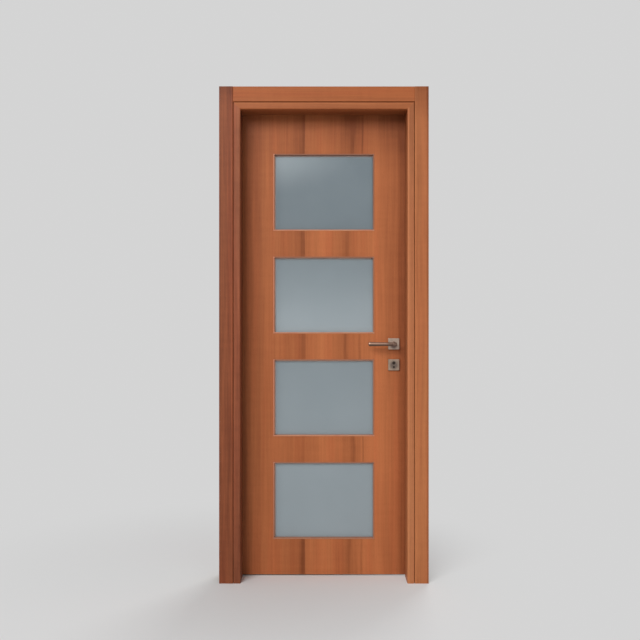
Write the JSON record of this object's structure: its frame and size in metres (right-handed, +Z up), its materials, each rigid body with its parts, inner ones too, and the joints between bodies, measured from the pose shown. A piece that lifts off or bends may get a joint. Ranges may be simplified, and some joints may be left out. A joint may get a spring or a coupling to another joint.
{
  "type": "glazed interior door",
  "caption": "Hinged interior door set: rebated veneered lining with architraves, and a flush leaf with satin glass panes and lever handles.",
  "frame": {"origin": "at floor level on the wall face of the hinge jamb, half way through the depth of the lining", "axes": "+X from the hinge jamb to the strike jamb, +Y from the front (the side that shows the lining's reveal) to the back (the side that the leaf opens to), +Z up"},
  "size_m": [0.904, 0.212, 2.143],
  "materials": {
    "lining_veneer": "satin lacquered reddish brown veneer, straight vertical grain",
    "architrave_veneer": "satin lacquered reddish brown veneer, straight vertical grain",
    "leaf_veneer": "satin lacquered reddish brown veneer with a redder figured band down its middle",
    "leaf_core": "lipped and veneered edge of the leaf",
    "glazing_bead": "slim lacquered beads that match the leaf",
    "satin_glass": "satin etched float glass, bluish grey",
    "satin_nickel": "satin nickel plate",
    "hinge_steel": "nickel plated steel",
    "seal_rubber": "brown matt door seal"
  },
  "bodies": {
    "frame": {"hinge_jamb": "lining_veneer", "strike_jamb": "lining_veneer", "head_jamb": "lining_veneer", "front_hinge_architrave": "architrave_veneer", "front_strike_architrave": "architrave_veneer", "front_head_architrave": "architrave_veneer", "back_hinge_architrave": "architrave_veneer", "back_strike_architrave": "architrave_veneer", "back_head_architrave": "architrave_veneer", "strike_plate": "hinge_steel", "top_hinge_frame_leaf": "hinge_steel", "middle_hinge_frame_leaf": "hinge_steel", "bottom_hinge_frame_leaf": "hinge_steel", "hinge_pins": "hinge_steel", "door_seal": "seal_rubber"},
    "leaf": {"hinge_stile": "leaf_core", "lock_stile": "leaf_core", "top_rail": "leaf_core", "upper_rail": "leaf_core", "middle_rail": "leaf_core", "lower_rail": "leaf_core", "bottom_rail": "leaf_core", "front_skin": "leaf_veneer", "back_skin": "leaf_veneer", "top_pane": "satin_glass", "upper_pane": "satin_glass", "lower_pane": "satin_glass", "bottom_pane": "satin_glass", "top_pane_beads": "glazing_bead", "upper_pane_beads": "glazing_bead", "lower_pane_beads": "glazing_bead", "bottom_pane_beads": "glazing_bead", "lock_faceplate": "hinge_steel", "lock_bolts": "hinge_steel", "lock_cylinder": "satin_nickel", "front_rose": "satin_nickel", "back_rose": "satin_nickel", "front_escutcheon": "satin_nickel", "back_escutcheon": "satin_nickel", "top_hinge_door_leaf": "hinge_steel", "middle_hinge_door_leaf": "hinge_steel", "bottom_hinge_door_leaf": "hinge_steel"},
    "handle": {"front_lever": "satin_nickel", "back_lever": "satin_nickel", "spindle": "hinge_steel"}
  },
  "joints": [
    {"name": "leaf_swing", "type": "hinge", "parent": "frame", "child": "leaf", "pos_m": [0.0275, 0.082, 0], "axis": [0, 0, 1], "range_deg": [0, 170]},
    {"name": "lever_turn", "type": "hinge", "parent": "leaf", "child": "handle", "pos_m": [0.71252, 0.055, 1.03], "axis": [0, -1, 0], "range_deg": [0, 40], "stiffness_Nm_per_rad": 1.2, "springref_deg": -45.84}
  ]
}
